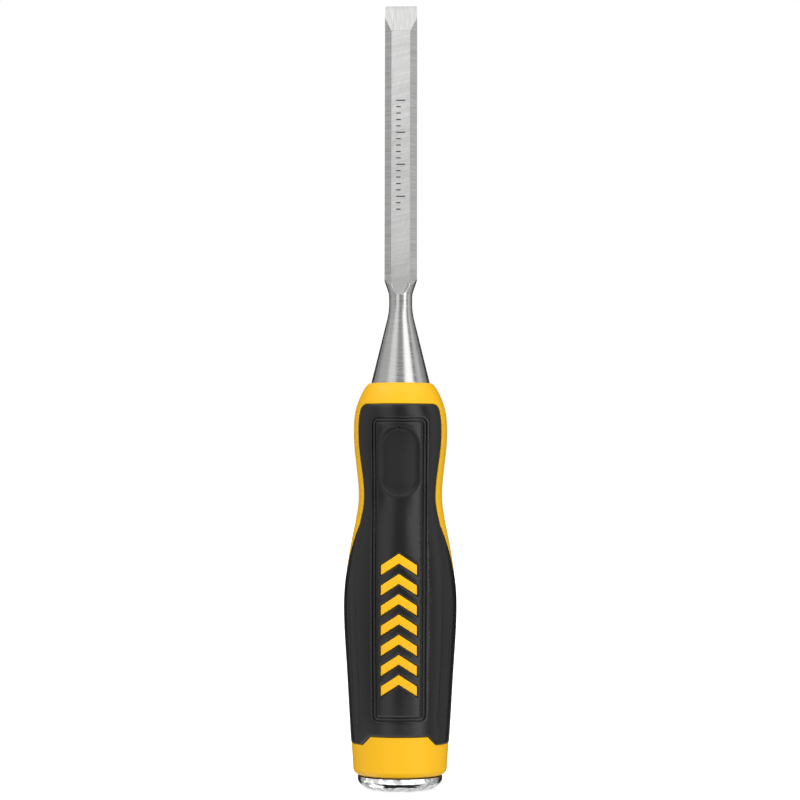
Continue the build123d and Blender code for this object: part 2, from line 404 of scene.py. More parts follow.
def wrapped(sheet):
    """(u, z, level) to x, y, z on the front right quarter of the handle."""
    angle = sheet[:, 0] / SHEET_RADIUS
    radius = handle_radius(sheet[:, 1]) + sheet[:, 2]
    return np.column_stack([radius * np.sin(angle), -radius * np.cos(angle), sheet[:, 1]])


def four_quarters(points, faces):
    """The front right quarter and its mirror images."""
    everything, all_faces = [], []
    for flip_x, flip_y in ((1, 1), (-1, 1), (1, -1), (-1, -1)):
        start = len(everything) * len(points)
        everything.append(points * (flip_x, flip_y, 1))
        turned = faces if flip_x * flip_y > 0 else [f[::-1] for f in faces]
        all_faces += [tuple(start + k for k in f) for f in turned]
    return np.vstack(everything), all_faces


# ---------------------------------------------------------------- soft grip

# Each step below is (distance inside an outline, level above the hard plastic's surface, or the share
# of a recess's full depth).
GRIP_PROUD = 0.1
GRIP_EDGE = [(0.0, -0.3), (0.1, -0.05), (0.25, 0.05), (0.45, GRIP_PROUD)]
FRAME_STEPS = [(0.0, 0.1), (0.1, 0.0), (0.2, -0.38), (0.42, -0.38), (0.52, -0.05), (0.66, 0.08),
               (0.85, 0.13), (1.02, 0.08), (1.15, -0.05), (1.24, -0.33), (1.4, -0.33), (1.5, 0.0),
               (1.62, 0.1)]
THUMB_STEPS = [(-0.3, 0.0), (0.0, 0.07), (0.22, 0.3), (0.5, 0.72), (0.8, 0.94), (1.15, 1.0)]
CHANNEL_STEPS = [(-0.15, 0.0), (0.05, 0.35), (0.25, 1.0)]
WINDOW_STEPS = [(-0.4, 0.1), (-0.2, 0.04), (-0.08, -0.1), (0.0, -0.35)]
GRIP_SPACING = 0.85
INNER_SPACING = 2.5       # on the grip's hidden inner face
RAMP_CURVE = 0.8
CHANNEL_FADE = 14.0


def fade(value, low, high):
    """0 below low, 1 above high, smooth between."""
    t = np.clip((value - low) / (high - low), 0, 1)
    return t * t * (3 - 2 * t)


def thumb_level(z, share):
    """Level in the thumb recess, which ramps up towards its foot."""
    ramp = np.clip((z - THUMB_BOTTOM_Z) / THUMB_RAMP, 0, 1) ** RAMP_CURVE
    return GRIP_PROUD - THUMB_DEPTH * share * ramp


def channel_level(z, share):
    """Level in a side channel, which fades out towards its top."""
    depth = CHANNEL_DEPTH * (1 - fade(z, CHANNEL_TOP_Z - CHANNEL_FADE, CHANNEL_TOP_Z))
    return GRIP_PROUD - depth * share


def level_lines(maker, steps):
    """The outline from maker at each step's inset, with that step's level along it."""
    lines = []
    for inset, level in steps:
        line = maker(inset)
        lines.append((line, np.full(len(line), level)))
    return lines


def grip_outline():
    return np.vstack([lower_edge(0), upper_edge(0)[::-1]])


def grip_windows():
    return [chevron_line(index, 0) for index in range(CHEVRON_COUNT)]


def soft_grip(rubber, thumb_rubber):
    """The black grip, a shell with windows for the emblem."""
    outline = grip_outline()
    windows = grip_windows()
    contours = level_lines(upper_edge, GRIP_EDGE) + level_lines(lower_edge, GRIP_EDGE)
    rim_numbers = [0, len(GRIP_EDGE)]
    contours += level_lines(frame_line, FRAME_STEPS)
    for inset, share in THUMB_STEPS:
        line = thumb_line(inset)
        contours.append((line, thumb_level(line[:, 1], share)))
    for inset, share in CHANNEL_STEPS:
        line = channel_line(inset)
        contours.append((line, channel_level(line[:, 1], share)))
    for index in range(CHEVRON_COUNT):
        contours += level_lines(lambda inset: chevron_line(index, inset), WINDOW_STEPS)
        rim_numbers.append(len(contours) - 1)
    thumb_floor = thumb_line(THUMB_STEPS[-1][0])
    channel_floor = channel_line(CHANNEL_STEPS[-1][0])

    def level_at(points):
        levels = np.full(len(points), GRIP_PROUD)
        thumb = within(points, thumb_floor)
        levels[thumb] = thumb_level(points[thumb, 1], 1.0)
        channel = within(points, channel_floor)
        levels[channel] = channel_level(points[channel, 1], 1.0)
        return levels

    def keep(points):
        kept = within(points, outline)
        for window in windows:
            kept &= ~within(points, window)
        return kept

    rims = [contours[k][0] for k in rim_numbers]
    outer, outer_faces, outer_lines = flat_sheet(
        contours, GRIP_SPACING, GRIP_BOTTOM_Z, GRIP_TOP_Z, level_at, keep
    )
    inner_lines = [(line, np.full(len(line), -GRIP_THICK)) for line in rims]
    inner, inner_faces, inner_rims = flat_sheet(
        inner_lines, INNER_SPACING, GRIP_BOTTOM_Z, GRIP_TOP_Z, lambda p: np.full(len(p), -GRIP_THICK), keep
    )
    points = np.vstack([wrapped(outer), wrapped(inner)])
    start = len(outer)
    faces = outer_faces + [tuple(start + k for k in f[::-1]) for f in inner_faces]
    for number, inner_rim in zip(rim_numbers, inner_rims):
        outer_rim = outer_lines[number]
        for k in range(len(outer_rim) - 1):
            across = (start + inner_rim[k + 1], start + inner_rim[k])
            faces.append((outer_rim[k], outer_rim[k + 1]) + across)
    centres = np.array([outer[list(face), :2].mean(axis=0) for face in outer_faces])
    zones = np.zeros(len(faces), int)
    zones[:len(outer_faces)] = within(centres, thumb_line(THUMB_STEPS[0][0]))
    points, faces = four_quarters(points, faces)
    zones = np.tile(zones, 4)
    materials = [rubber, thumb_rubber]
    add_piece("soft_grip", points, faces, "grip_overmold", materials, zones, sharp=50)


# ---------------------------------------------------------------- hard handle body

SEAM = 0.03               # hairline between the body and the grip
CORE_EDGE = [(-0.35, 0.0), (-0.15, -0.04), (-0.04, -0.22), (0.0, -0.3), (SEAM, -GRIP_THICK - SEAM)]
PAD_STEPS = [(SEAM, -GRIP_THICK - SEAM), (0.08, -0.15), (0.13, 0.05), (0.24, 0.13), (0.4, 0.15)]
PAD_LEVEL = 0.15
CORE_SPACING = 0.9
COLLAR_ROUND_Z = 125.4    # above this the collar's edge is rounded
BUTT_ARC = (0, 84)        # degrees of the butt's rounded edge
BUTT_ARC_POINTS = 9
COLLAR_RINGS = [(10.08, 125.62), (9.84, 125.82), (9.56, COLLAR_TOP_Z), (CONE_BASE_RADIUS, COLLAR_TOP_Z),
                (CONE_BASE_RADIUS, SEAT_Z), (TANG_RADIUS, SEAT_Z), (TANG_END_RADIUS, TANG_END_Z),
                (TANG_END_RADIUS, HUB_TOP_Z), (HUB_RADIUS - HUB_CHAMFER, HUB_TOP_Z),
                (HUB_RADIUS, HUB_TOP_Z - HUB_CHAMFER), (HUB_RADIUS, BUTT_Z)]


def butt_rings():
    """From the hub's bore out along the lower face and round the butt's edge."""
    low = PROFILE_Z[0]
    round_height = low - BUTT_Z
    foot = PROFILE_R[0] - round_height
    corner = [
        (foot + round_height * sin(a), low - round_height * cos(a))
        for a in np.radians(np.linspace(*BUTT_ARC, BUTT_ARC_POINTS))
    ]
    return corner + [(PROFILE_R[0], low)]


def handle_body(plastic):
    """The yellow core: its outside as a sheet, then the collar, the bore and the butt as rings."""
    grip = grip_outline()
    contours = level_lines(upper_edge, CORE_EDGE) + level_lines(lower_edge, CORE_EDGE)
    for index in range(CHEVRON_COUNT):
        contours += level_lines(lambda inset: chevron_line(index, inset), PAD_STEPS)
    pads = [chevron_line(index, PAD_STEPS[-1][0]) for index in range(CHEVRON_COUNT)]

    def level_at(points):
        levels = np.where(within(points, grip), -GRIP_THICK - SEAM, 0.0)
        for pad in pads:
            levels[within(points, pad)] = PAD_LEVEL
        return levels

    sheet, faces, _ = flat_sheet(
        contours, CORE_SPACING, PROFILE_Z[0], COLLAR_ROUND_Z, level_at, lambda p: np.ones(len(p), bool)
    )
    points = wrapped(sheet)
    columns = ceil(SHEET_WIDTH / CORE_SPACING)
    angles = np.arange(columns + 1) / columns * pi / 2
    top = (float(handle_radius(COLLAR_ROUND_Z)), COLLAR_ROUND_Z)
    profile = [top] + COLLAR_RINGS + butt_rings()
    rings = [(r * sin(a), -r * cos(a), z) for r, z in profile for a in angles]
    start = len(points)
    points = np.vstack([points, rings])
    faces = faces + ring_faces(len(profile), len(angles), start, wrap=False)
    points, faces = four_quarters(points, faces)
    add_piece("handle_body", points, faces, "handle_core", [plastic], sharp=40)


# ---------------------------------------------------------------- forged blade

BEVEL_RUN = (BLADE_HALF - TOP_HALF, LAND_Y - BLADE_FRONT_Y)
BEVEL_HEADING = atan2(-BEVEL_RUN[0], BEVEL_RUN[1])
BEVEL_DISTANCE = BLADE_HALF * cos(BEVEL_HEADING) + LAND_Y * sin(BEVEL_HEADING)
GROUND = [                # heading and distance of each ground face, anticlockwise from the front
    (-pi / 2, -BLADE_FRONT_Y),
    (BEVEL_HEADING, BEVEL_DISTANCE),
    (0.0, BLADE_HALF),
    (pi / 2, BLADE_BACK_Y),
    (pi, BLADE_HALF),
    (pi - BEVEL_HEADING, BEVEL_DISTANCE),
]
FACE_COLUMNS = [8, 5, 4, 8, 4, 5]
ARC_COLUMNS = [9, 10, 16, 16, 10, 9]   # columns on the round stretch after each ground face
TOP_FACE, SIDE_BEVEL, SIDE_LAND, BACK_FACE, TIP_FACE, TURNED = range(6)
ROLLED = ({TOP_FACE, TURNED}, {TOP_FACE, TIP_FACE})   # zones that meet in a worn crease
WORN = ({TURNED}, {TURNED, SIDE_BEVEL})               # the same, on the worn run-out only
FACE_ZONES = [TOP_FACE, SIDE_BEVEL, SIDE_LAND, BACK_FACE, SIDE_LAND, SIDE_BEVEL]
SAME_POINT = 1e-6
TIP_FOOT_Z = TIP_Z - (BLADE_BACK_Y - BLADE_FRONT_Y) / TIP_SLOPE
FORWARD = [1, -sin(BEVEL_HEADING), 0, 0, 0, -sin(BEVEL_HEADING)]   # share of the taper on each face


def taper(z):
    """How much further forward the front of the blade stands than at the tip bevel."""
    return BLADE_TAPER * (TIP_FOOT_Z - max(z, GRIND_END_Z)) / (TIP_FOOT_Z - GRIND_END_Z)


def forging_radius(z):
    """Radius of the turned blank above the collar."""
    if z <= NECK_LOW_Z:
        drop = min(NECK_LOW_Z - z, CONE_BLEND * sin(CONE_ANGLE))
        blended = NECK_RADIUS + CONE_BLEND - sqrt(CONE_BLEND**2 - drop**2)
        below = NECK_LOW_Z - CONE_BLEND * sin(CONE_ANGLE) - z
        return blended + max(0, below) * tan(CONE_ANGLE)
    rise = min(max(0, z - NECK_HIGH_Z), FLARE_BLEND * sin(FLARE_ANGLE))
    blended = NECK_RADIUS + FLARE_BLEND - sqrt(FLARE_BLEND**2 - rise**2)
    above = z - NECK_HIGH_Z - FLARE_BLEND * sin(FLARE_ANGLE)
    return min(STOCK_RADIUS, blended + max(0, above) * tan(FLARE_ANGLE))


def ground_plane(number, z):
    """Normal and distance of a ground face at height z."""
    heading, distance = GROUND[number]
    return np.array((cos(heading), sin(heading))), distance + FORWARD[number] * taper(z)


def corner_point(first, second, z, spread):
    """Where two neighbouring ground faces meet, both moved out by spread."""
    n1, d1 = ground_plane(first, z)
    n2, d2 = ground_plane(second, z)
    return np.linalg.solve(np.array([n1, n2]), (d1 + spread, d2 + spread))


def ground_ends(z, radius):
    """The two ends of each ground face at height z. They are one point where the face has run out."""
    depth = GRIND_END_Z - z
    run_out = min(max(0, depth), RUN_OUT_RADIUS)
    spread = RUN_OUT_RADIUS - sqrt(RUN_OUT_RADIUS**2 - run_out**2)
    ends = []
    for k in range(len(GROUND)):
        normal, distance = ground_plane(k, z)
        along = np.array((-normal[1], normal[0]))
        before = corner_point(k - 1, k, z, spread) @ along
        after = corner_point(k, (k + 1) % len(GROUND), z, spread) @ along
        out = distance + spread
        reach = sqrt(radius**2 - out**2) if radius > out and depth < RUN_OUT_RADIUS else 0
        start, end = max(before, -reach), min(after, reach)
        if start < end:
            ends.append((normal * out + along * start, normal * out + along * end))
        else:
            meeting = normal * out + along * min(max(0, before), after)
            meeting *= radius / np.linalg.norm(meeting)
            ends.append((meeting, meeting))
    return ends


def tip_ends(z):
    """The ends of the faces where the tip bevel has cut into the blade."""
    cut = min(BLADE_BACK_Y - (TIP_Z - z) * TIP_SLOPE, BLADE_BACK_Y - EDGE_THICK)
    land_y, front_y = LAND_Y - taper(z), BLADE_FRONT_Y - taper(z)
    share = (min(cut, land_y) - front_y) / BEVEL_RUN[1]
    half = TOP_HALF + share * BEVEL_RUN[0]
    land = max(cut, land_y)
    right = [((half, cut), (BLADE_HALF, land)), ((BLADE_HALF, land), (BLADE_HALF, BLADE_BACK_Y))]
    left = [((-x2, y2), (-x1, y1)) for (x1, y1), (x2, y2) in reversed(right)]
    front = [((-half, cut), (half, cut))]
    back = [((BLADE_HALF, BLADE_BACK_Y), (-BLADE_HALF, BLADE_BACK_Y))]
    return [(np.array(a), np.array(b)) for a, b in front + right + back + left]


def forging_row(z, ends, radius):
    """All the points round the forging at height z."""
    row = []
    for k, (start, end) in enumerate(ends):
        columns = FACE_COLUMNS[k]
        row += [start + (end - start) * c / columns for c in range(columns)]
        following = ends[(k + 1) % len(ends)][0]
        if np.linalg.norm(following - end) < SAME_POINT:
            row += [end] * ARC_COLUMNS[k]
        else:
            first, last = atan2(end[1], end[0]), atan2(following[1], following[0])
            turn = (last - first) % (2 * pi)
            angles = [first + turn * c / ARC_COLUMNS[k] for c in range(ARC_COLUMNS[k])]
            row += [np.array((radius * cos(a), radius * sin(a))) for a in angles]
    return [(x, y, z) for x, y in row]


TIP_ROWS = 12
BLADE_ROWS = 18
RUN_OUT_ROWS = 107
TURNED_ROWS = 34
TIP_CREASE = 0.2          # how far the worn crease reaches to each side
RUN_OUT_TOP_Z = 162.0     # the rows lie close together from here down
LAST_ROW_Z = 126.4
RUN_OUT_LOW_Z = 151.3     # below this the forging is round again
WORN_TOP_Z = 157.0        # below this the edges of the top face are worn round and bright
WORN_COLUMNS = (0, FACE_COLUMNS[0] - 1)


def roll_over_creases(mesh):
    """Shades the creases round the top face's ends smooth, like the worn edges they are."""
    zones = {}
    for face in mesh.polygons:
        for key in face.edge_keys:
            zones.setdefault(key, set()).add(face.material_index)
    for edge in mesh.edges:
        height = mesh.vertices[edge.vertices[0]].co.z
        worn = RUN_OUT_LOW_Z * MM < height < WORN_TOP_Z * MM
        if zones[edge.key] in ROLLED or worn and zones[edge.key] in WORN:
            edge.use_edge_sharp = False


def forging(steels):
    """Blade, neck, cone, bolster and tang as one forging."""
    heights = list(np.linspace(TIP_Z, TIP_FOOT_Z + TIP_CREASE, TIP_ROWS))
    heights.append(TIP_FOOT_Z)
    heights += list(np.linspace(TIP_FOOT_Z - TIP_CREASE, RUN_OUT_TOP_Z, BLADE_ROWS + 1)[:-1])
    heights += list(np.linspace(RUN_OUT_TOP_Z, RUN_OUT_LOW_Z, RUN_OUT_ROWS + 1)[:-1])
    heights += list(np.linspace(RUN_OUT_LOW_Z, LAST_ROW_Z, TURNED_ROWS))
    rows = []
    for number, z in enumerate(heights):
        radius = forging_radius(z)
        ends = tip_ends(z) if number < TIP_ROWS else ground_ends(z, radius)
        rows.append(forging_row(z, ends, radius))
    lower = [(CONE_BASE_RADIUS, COLLAR_TOP_Z), (CONE_BASE_RADIUS, SEAT_Z), (TANG_RADIUS, SEAT_Z),
             (TANG_END_RADIUS, TANG_END_Z), (TANG_END_RADIUS, BORE_FLOOR_Z)]
    for radius, z in lower:
        rows.append(forging_row(z, ground_ends(COLLAR_TOP_Z, radius), radius))
    count = len(rows[0])
    faces = ring_faces(len(rows), count)
    column_zones = []
    for zone, face_columns, arc_columns in zip(FACE_ZONES, FACE_COLUMNS, ARC_COLUMNS):
        column_zones += [zone] * face_columns + [TURNED] * arc_columns
    zones = []
    for row in range(len(rows) - 1):
        turned_row = row >= len(heights) - TURNED_ROWS
        worn_row = row < len(heights) and heights[row] < WORN_TOP_Z
        for column, zone in enumerate(column_zones):
            if turned_row or worn_row and column in WORN_COLUMNS:
                zone = TURNED
            elif zone == TOP_FACE and row < TIP_ROWS:
                zone = TIP_FACE
            zones.append(zone)
    faces.append(tuple(range(count)))
    faces.append(tuple(range((len(rows) - 1) * count, len(rows) * count)))
    zones += [BACK_FACE, TURNED]
    points = [p for row in rows for p in row]
    piece = add_piece("blade_forging", points, faces, "blade", steels, zones, sharp=22)
    roll_over_creases(piece.data)


# ---------------------------------------------------------------- strike cap

CAP_GAP = 0.3             # gap under the butt's rounded edge, its faces painted dark as shade
CAP_CHAMFER = 0.08
CAP_FOOT_RADIUS = 12.2    # at the bottom of the gap
CAP_SEGMENTS = 120
CAP_EDGE_POINTS = 19
CENTRE_HOLE = 0.01        # closed by a flat face


def steel_cap(chrome, gap_shade):
    """The strike cap with its hub, turned round the axis."""
    edge = [
        (STRIKE_FACE_RADIUS + (CAP_RADIUS - STRIKE_FACE_RADIUS) * sin(a), CAP_EDGE_HEIGHT * (1 - cos(a)))
        for a in np.radians(np.linspace(0, 90, CAP_EDGE_POINTS))
    ]
    profile = [(CENTRE_HOLE, 0)] + edge + [
        (CAP_RADIUS, BUTT_Z - CAP_GAP - CAP_CHAMFER),
        (CAP_RADIUS - CAP_CHAMFER, BUTT_Z - CAP_GAP),
        (CAP_FOOT_RADIUS, BUTT_Z - CAP_GAP),
        (CAP_FOOT_RADIUS, BUTT_Z),
        (HUB_RADIUS, BUTT_Z),
        (HUB_RADIUS, HUB_TOP_Z - HUB_CHAMFER),
        (HUB_RADIUS - HUB_CHAMFER, HUB_TOP_Z),
        (TANG_END_RADIUS, HUB_TOP_Z),
        (TANG_END_RADIUS, BORE_FLOOR_Z),
        (CENTRE_HOLE, BORE_FLOOR_Z),
    ]
    count = CAP_SEGMENTS
    points = [
        (r * cos(a), r * sin(a), z)
        for r, z in profile
        for a in (2 * pi * k / count for k in range(count))
    ]
    faces = ring_faces(len(profile), count)
    # The gap's two faces take the dark steel, painted shade under the butt's edge.
    groove = [len(edge) + 2, len(edge) + 3]
    zones = [int(ring in groove) for ring in range(len(profile) - 1) for _ in range(count)] + [0, 0]
    faces.append(tuple(range(count)))
    faces.append(tuple(range((len(profile) - 1) * count, len(profile) * count)))
    add_piece("steel_cap", points, faces, "strike_cap", [chrome, gap_shade], zones, sharp=35)


# ---------------------------------------------------------------- depth scale on the blade

TICK_PROUD = 0.012
TICK_SINK = 0.03
TICK_WIDTH = 0.36
SCALE_TOP_Z = 214.0
SCALE_STEP = 2.0
SCALE_COUNT = 18
SCALE_START_X = -1.4
SHORT_TICK = 1.4
LONG_TICK = 2.8
TICKS_PER_LONG = 5


def tick(length, z):
    """Points and faces of one thin bar across the top face, standing just proud of it."""
    points = []
    for height in (z - TICK_WIDTH / 2, z + TICK_WIDTH / 2):
        front = BLADE_FRONT_Y - taper(height)
        for x, y in ((0, -TICK_PROUD), (length, -TICK_PROUD), (length, TICK_SINK), (0, TICK_SINK)):
            points.append((SCALE_START_X + x, front + y, height))
    return points, ring_faces(2, 4) + [(0, 1, 2, 3), (4, 5, 6, 7)]


def depth_scale(etch):
    """Plain etched graduations, every fifth one longer."""
    points, faces = [], []
    for number in range(SCALE_COUNT):
        length = SHORT_TICK if number % TICKS_PER_LONG else LONG_TICK
        tick_points, tick_faces = tick(length, SCALE_TOP_Z - number * SCALE_STEP)
        faces += [tuple(len(points) + k for k in face) for face in tick_faces]
        points += tick_points
    add_piece("depth_scale", points, faces, None, [etch])


# ---------------------------------------------------------------- materials


def node(tree, kind, inputs=None, **settings):
    """Adds a shader node. inputs gives its sockets numbers, colours or other nodes' sockets."""
    made = tree.nodes.new(kind)
    for name, value in settings.items():
        setattr(made, name, value)
    for name, value in (inputs or {}).items():
        socket = made.inputs[name]
        if isinstance(value, bpy.types.NodeSocket):
            tree.links.new(value, socket)
        else:
            socket.default_value = value
    return made


def calc(tree, operation, *values):
    return node(tree, "ShaderNodeMath", dict(enumerate(values)), operation=operation).outputs[0]


def new_material(name):
    material = bpy.data.materials.new(name)
    material.use_nodes = True
    tree = material.node_tree
    shader = tree.nodes["Principled BSDF"]
    place = node(tree, "ShaderNodeTexCoord").outputs["Object"]
    return material, tree, shader, place


def noise(tree, place, scale, detail=2.0, rotation=(0, 0, 0), stretch=(1, 1, 1)):
    """Noise between 0 and 1, with scale in features per metre, squeezed by stretch after rotation."""
    mapping = node(tree, "ShaderNodeMapping", {"Vector": place, "Rotation": rotation})
    squeezed = node(tree, "ShaderNodeMapping", {"Vector": mapping.outputs[0], "Scale": stretch})
    inputs = {"Vector": squeezed.outputs[0], "Scale": scale, "Detail": detail}
    return node(tree, "ShaderNodeTexNoise", inputs).outputs["Fac"]


def remap(tree, value, low, high, to_low, to_high):
    inputs = {"Value": value, "From Min": low, "From Max": high, "To Min": to_low, "To Max": to_high}
    return node(tree, "ShaderNodeMapRange", inputs).outputs[0]


def blend(tree, share, first, second):
    """The first colour where share is 0, the second where it is 1."""
    made = node(tree, "ShaderNodeMix", {"Factor": share}, data_type="RGBA")
    ends = [s for s in made.inputs if s.type == "RGBA"]
    for socket, colour in zip(ends, (first, second)):
        socket.default_value = colour
    return [s for s in made.outputs if s.type == "RGBA"][0]


def bump(tree, height, strength, distance):
    inputs = {"Height": height, "Strength": strength, "Distance": distance}
    return node(tree, "ShaderNodeBump", inputs).outputs[0]


def yellow_plastic():
    material, tree, shader, place = new_material("yellow_plastic")
    clouds = noise(tree, place, 60, 3)
    grain = noise(tree, place, 3500, 2)
    colour = blend(tree, clouds, (0.95, 0.505, 0.003, 1), (0.99, 0.535, 0.005, 1))
    tree.links.new(colour, shader.inputs["Base Color"])
    tree.links.new(remap(tree, clouds, 0.3, 0.7, 0.34, 0.44), shader.inputs["Roughness"])
    tree.links.new(bump(tree, grain, 0.15, 0.00004), shader.inputs["Normal"])
    shader.inputs["Specular IOR Level"].default_value = 0.28
    return material


def black_rubber(name, roughness, specular):
    material, tree, shader, place = new_material(name)
    clouds = noise(tree, place, 90, 3)
    grain = noise(tree, place, 2800, 2)
    colour = blend(tree, clouds, (0.0012, 0.0012, 0.0013, 1), (0.0032, 0.0032, 0.0034, 1))
    tree.links.new(colour, shader.inputs["Base Color"])
    varied = remap(tree, clouds, 0.3, 0.7, roughness - 0.03, roughness + 0.03)
    tree.links.new(varied, shader.inputs["Roughness"])
    tree.links.new(bump(tree, grain, 0.45, 0.00005), shader.inputs["Normal"])
    shader.inputs["Specular IOR Level"].default_value = specular
    return material


def ground_steel(name, colour, roughness, scratches, depth=0.5, contrast=0.13, painted_shades=(), metallic=1.0):
    """Ground steel. scratches are (rotation, stretch, scale, share) of each set of lines.

    Each painted shade is (low, high, factor low down, factor high up), a slow change in brightness up the
    tool, in metres, painted into the colour as light and shade."""
    material, tree, shader, place = new_material(name)
    marks = None
    for rotation, stretch, scale, share in scratches:
        lines = calc(tree, "MULTIPLY", noise(tree, place, scale, 3, rotation, stretch), share)
        marks = lines if marks is None else calc(tree, "ADD", marks, lines)
    marks = calc(tree, "DIVIDE", marks, sum(share for _, _, _, share in scratches))
    clouds = noise(tree, place, 70, 3)
    light = tuple(c * (1 + contrast) for c in colour) + (1,)
    dark = tuple(c * (1 - contrast) for c in colour) + (1,)
    even = remap(tree, marks, 0.3, 0.7, 0.0, 1.0)
    colour = blend(tree, even, dark, light)
    height = node(tree, "ShaderNodeSeparateXYZ", {"Vector": place}).outputs["Z"]
    # painted shade: the colour scaled darker or brighter with height
    for low, high, below, above in painted_shades:
        scaling = {0: colour, "Scale": remap(tree, height, low, high, below, above)}
        colour = node(tree, "ShaderNodeVectorMath", scaling, operation="SCALE").outputs[0]
    tree.links.new(colour, shader.inputs["Base Color"])
    rough = calc(tree, "ADD", remap(tree, marks, 0.3, 0.7, roughness - 0.07, roughness + 0.05),
                 remap(tree, clouds, 0.3, 0.7, -0.02, 0.02))
    tree.links.new(rough, shader.inputs["Roughness"])
    tree.links.new(bump(tree, marks, depth, 0.00003), shader.inputs["Normal"])
    shader.inputs["Metallic"].default_value = metallic
    return material


def chrome_plate():
    material, tree, shader, place = new_material("cap_chrome")
    dents = noise(tree, place, 260, 2)
    pits = noise(tree, place, 2600, 3)
    # The grey blotches in the chrome's colour are painted reflections of the studio round it.
    painted_reflections = remap(tree, noise(tree, place, 420, 2), 0.42, 0.6, 0.0, 1.0)
    colour = blend(tree, painted_reflections, (0.42, 0.42, 0.425, 1), (0.88, 0.88, 0.89, 1))
    tree.links.new(colour, shader.inputs["Base Color"])
    tree.links.new(remap(tree, pits, 0.3, 0.7, 0.05, 0.12), shader.inputs["Roughness"])
    tree.links.new(bump(tree, dents, 0.5, 0.0004), shader.inputs["Normal"])
    shader.inputs["Metallic"].default_value = 1.0
    return material


# Dark rough steel on the faces of the cap's gap: painted shade where the butt's edge shades the cap.
def gap_shade_steel():
    material, tree, shader, place = new_material("gap_shade_steel")
    mottle = noise(tree, place, 900, 3)
    colour = blend(tree, mottle, (0.04, 0.04, 0.04, 1), (0.09, 0.09, 0.09, 1))
    tree.links.new(colour, shader.inputs["Base Color"])
    tree.links.new(remap(tree, mottle, 0.3, 0.7, 0.5, 0.7), shader.inputs["Roughness"])
    shader.inputs["Metallic"].default_value = 0.6
    return material


def etched_steel():
    material, tree, shader, place = new_material("etched_steel")
    mottle = noise(tree, place, 2500, 2)
    colour = blend(tree, mottle, (0.02, 0.02, 0.02, 1), (0.06, 0.06, 0.06, 1))
    tree.links.new(colour, shader.inputs["Base Color"])
    tree.links.new(remap(tree, mottle, 0.3, 0.7, 0.6, 0.8), shader.inputs["Roughness"])
    shader.inputs["Metallic"].default_value = 0.2
    return material


STEEL = (0.53, 0.53, 0.525)
# The tip bevel's steel is the same steel made 8% darker, painted shade.
TIP_SHADED_STEEL = tuple(0.92 * c for c in STEEL)
TOP_STEEL = (0.655, 0.655, 0.65)
UPRIGHT = (0, 0, 0)
LYING = (0.04, 0.04, 1)   # stretch of lines that lie across the tool
TOP_SCRATCHES = [
    ((0, radians(-20), 0), (1, 1, 0.04), 3400, 1.0),
    ((0, radians(14), 0), (0.05, 1, 1), 1500, 1.6),
]
# Painted shade on the top face: darker towards its root and lower down, brighter near the tip.
TOP_PAINTED_SHADES = [(0.157, 0.172, 0.76, 1.0), (0.195, 0.232, 0.93, 1.10)]
TIP_SCRATCHES = [((0, radians(4), 0), (1, 0.1, 0.05), 2600, 1.0)]
blade_steels = [
    ground_steel("top_face_steel", TOP_STEEL, 0.46, TOP_SCRATCHES, contrast=0.16, painted_shades=TOP_PAINTED_SHADES,
                 metallic=0.4),
    ground_steel("side_bevel_steel", STEEL, 0.42, [(UPRIGHT, LYING, 2000, 1.0)], contrast=0.17),
    ground_steel("side_land_steel", STEEL, 0.4, [(UPRIGHT, LYING, 3000, 1.0)]),
    ground_steel("back_face_steel", STEEL, 0.36, [(UPRIGHT, (1, 1, 0.02), 4000, 1.0)]),
    ground_steel("tip_bevel_steel", TIP_SHADED_STEEL, 0.4, TIP_SCRATCHES, contrast=0.18),
    ground_steel("turned_steel", STEEL, 0.25, [(UPRIGHT, (0.05, 0.05, 1), 3600, 1.0)], 0.1, 0.09),
]

forging(blade_steels)
handle_body(yellow_plastic())
soft_grip(black_rubber("black_rubber", 0.28, 0.47), black_rubber("thumb_rubber", 0.5, 0.37))
steel_cap(chrome_plate(), gap_shade_steel())
depth_scale(etched_steel())

# ---------------------------------------------------------------- studio


def soft_window(tree, value, low, high, soft):
    """1 where value lies between low and high, falling off over soft on each side."""
    rise = node(tree, "ShaderNodeMapRange", {
        "Value": value, "From Min": low - soft, "From Max": low + soft}, interpolation_type="SMOOTHSTEP")
    fall = node(tree, "ShaderNodeMapRange", {
        "Value": value, "From Min": high - soft, "From Max": high + soft, "To Min": 1.0, "To Max": 0.0},
        interpolation_type="SMOOTHSTEP")
    return calc(tree, "MULTIPLY", rise.outputs[0], fall.outputs[0])


# Studio lights as seen from the chisel: azimuth range (0 is the front, positive to the right) and
# elevation range in degrees, softness of the edges, and strength. The negative one is a black flag.
AMBIENT = 0.42
BACK_AMBIENT = 0.03
SOFT_LIGHTS = [
    (34, 58, -42, 13, 6, 1.75),
    (20, 57, 13, 50, 6, 1.55),
    (60, 68, -6, 50, 3, -0.25),
    (8, 34, -34, -13, 4, 1.5),
    (-42, -14, -26, 13, 5, 0.85),
    (-56, -18, 13, 50, 6, 0.72),
    (-112, -56, -42, -20, 6, 0.35),
    (60, 112, -42, -20, 6, 0.35),
    (76, 103, -14, 50, 5, 0.46),
    (-106, -60, -14, 50, 6, 0.24),
    (-110, 110, 54, 95, 7, 1.7),
    (-128, -30, 42, 56, 5, 1.9),
    (30, 128, 42, 56, 5, 0.8),
    (-52, 36, -42, -28, 4, 2.2),
    (-140, -78, -64, -42, 5, 2.0),
    (82, 140, -64, -42, 5, 0.9),
]
AHEAD = (-134, 134)       # azimuths outside this are behind the tool
ALL_BUT_REAR = (-158, 158)
BEHIND_BELOW = (-120, -24, 0.85)               # elevation range and strength, low down behind
REAR_LIGHTS = [(-22, -8, 0.9), (20, 66, 0.9)]  # the same, of the lights straight behind
DARK_BELOW = -42
PAST_ZENITH = 100
AROUND_SOFT = 5           # softness, in degrees, of the edges between these regions
FLOOR_SOFT = 3
LOW_SOFT = 6
REAR_SOFT = 4


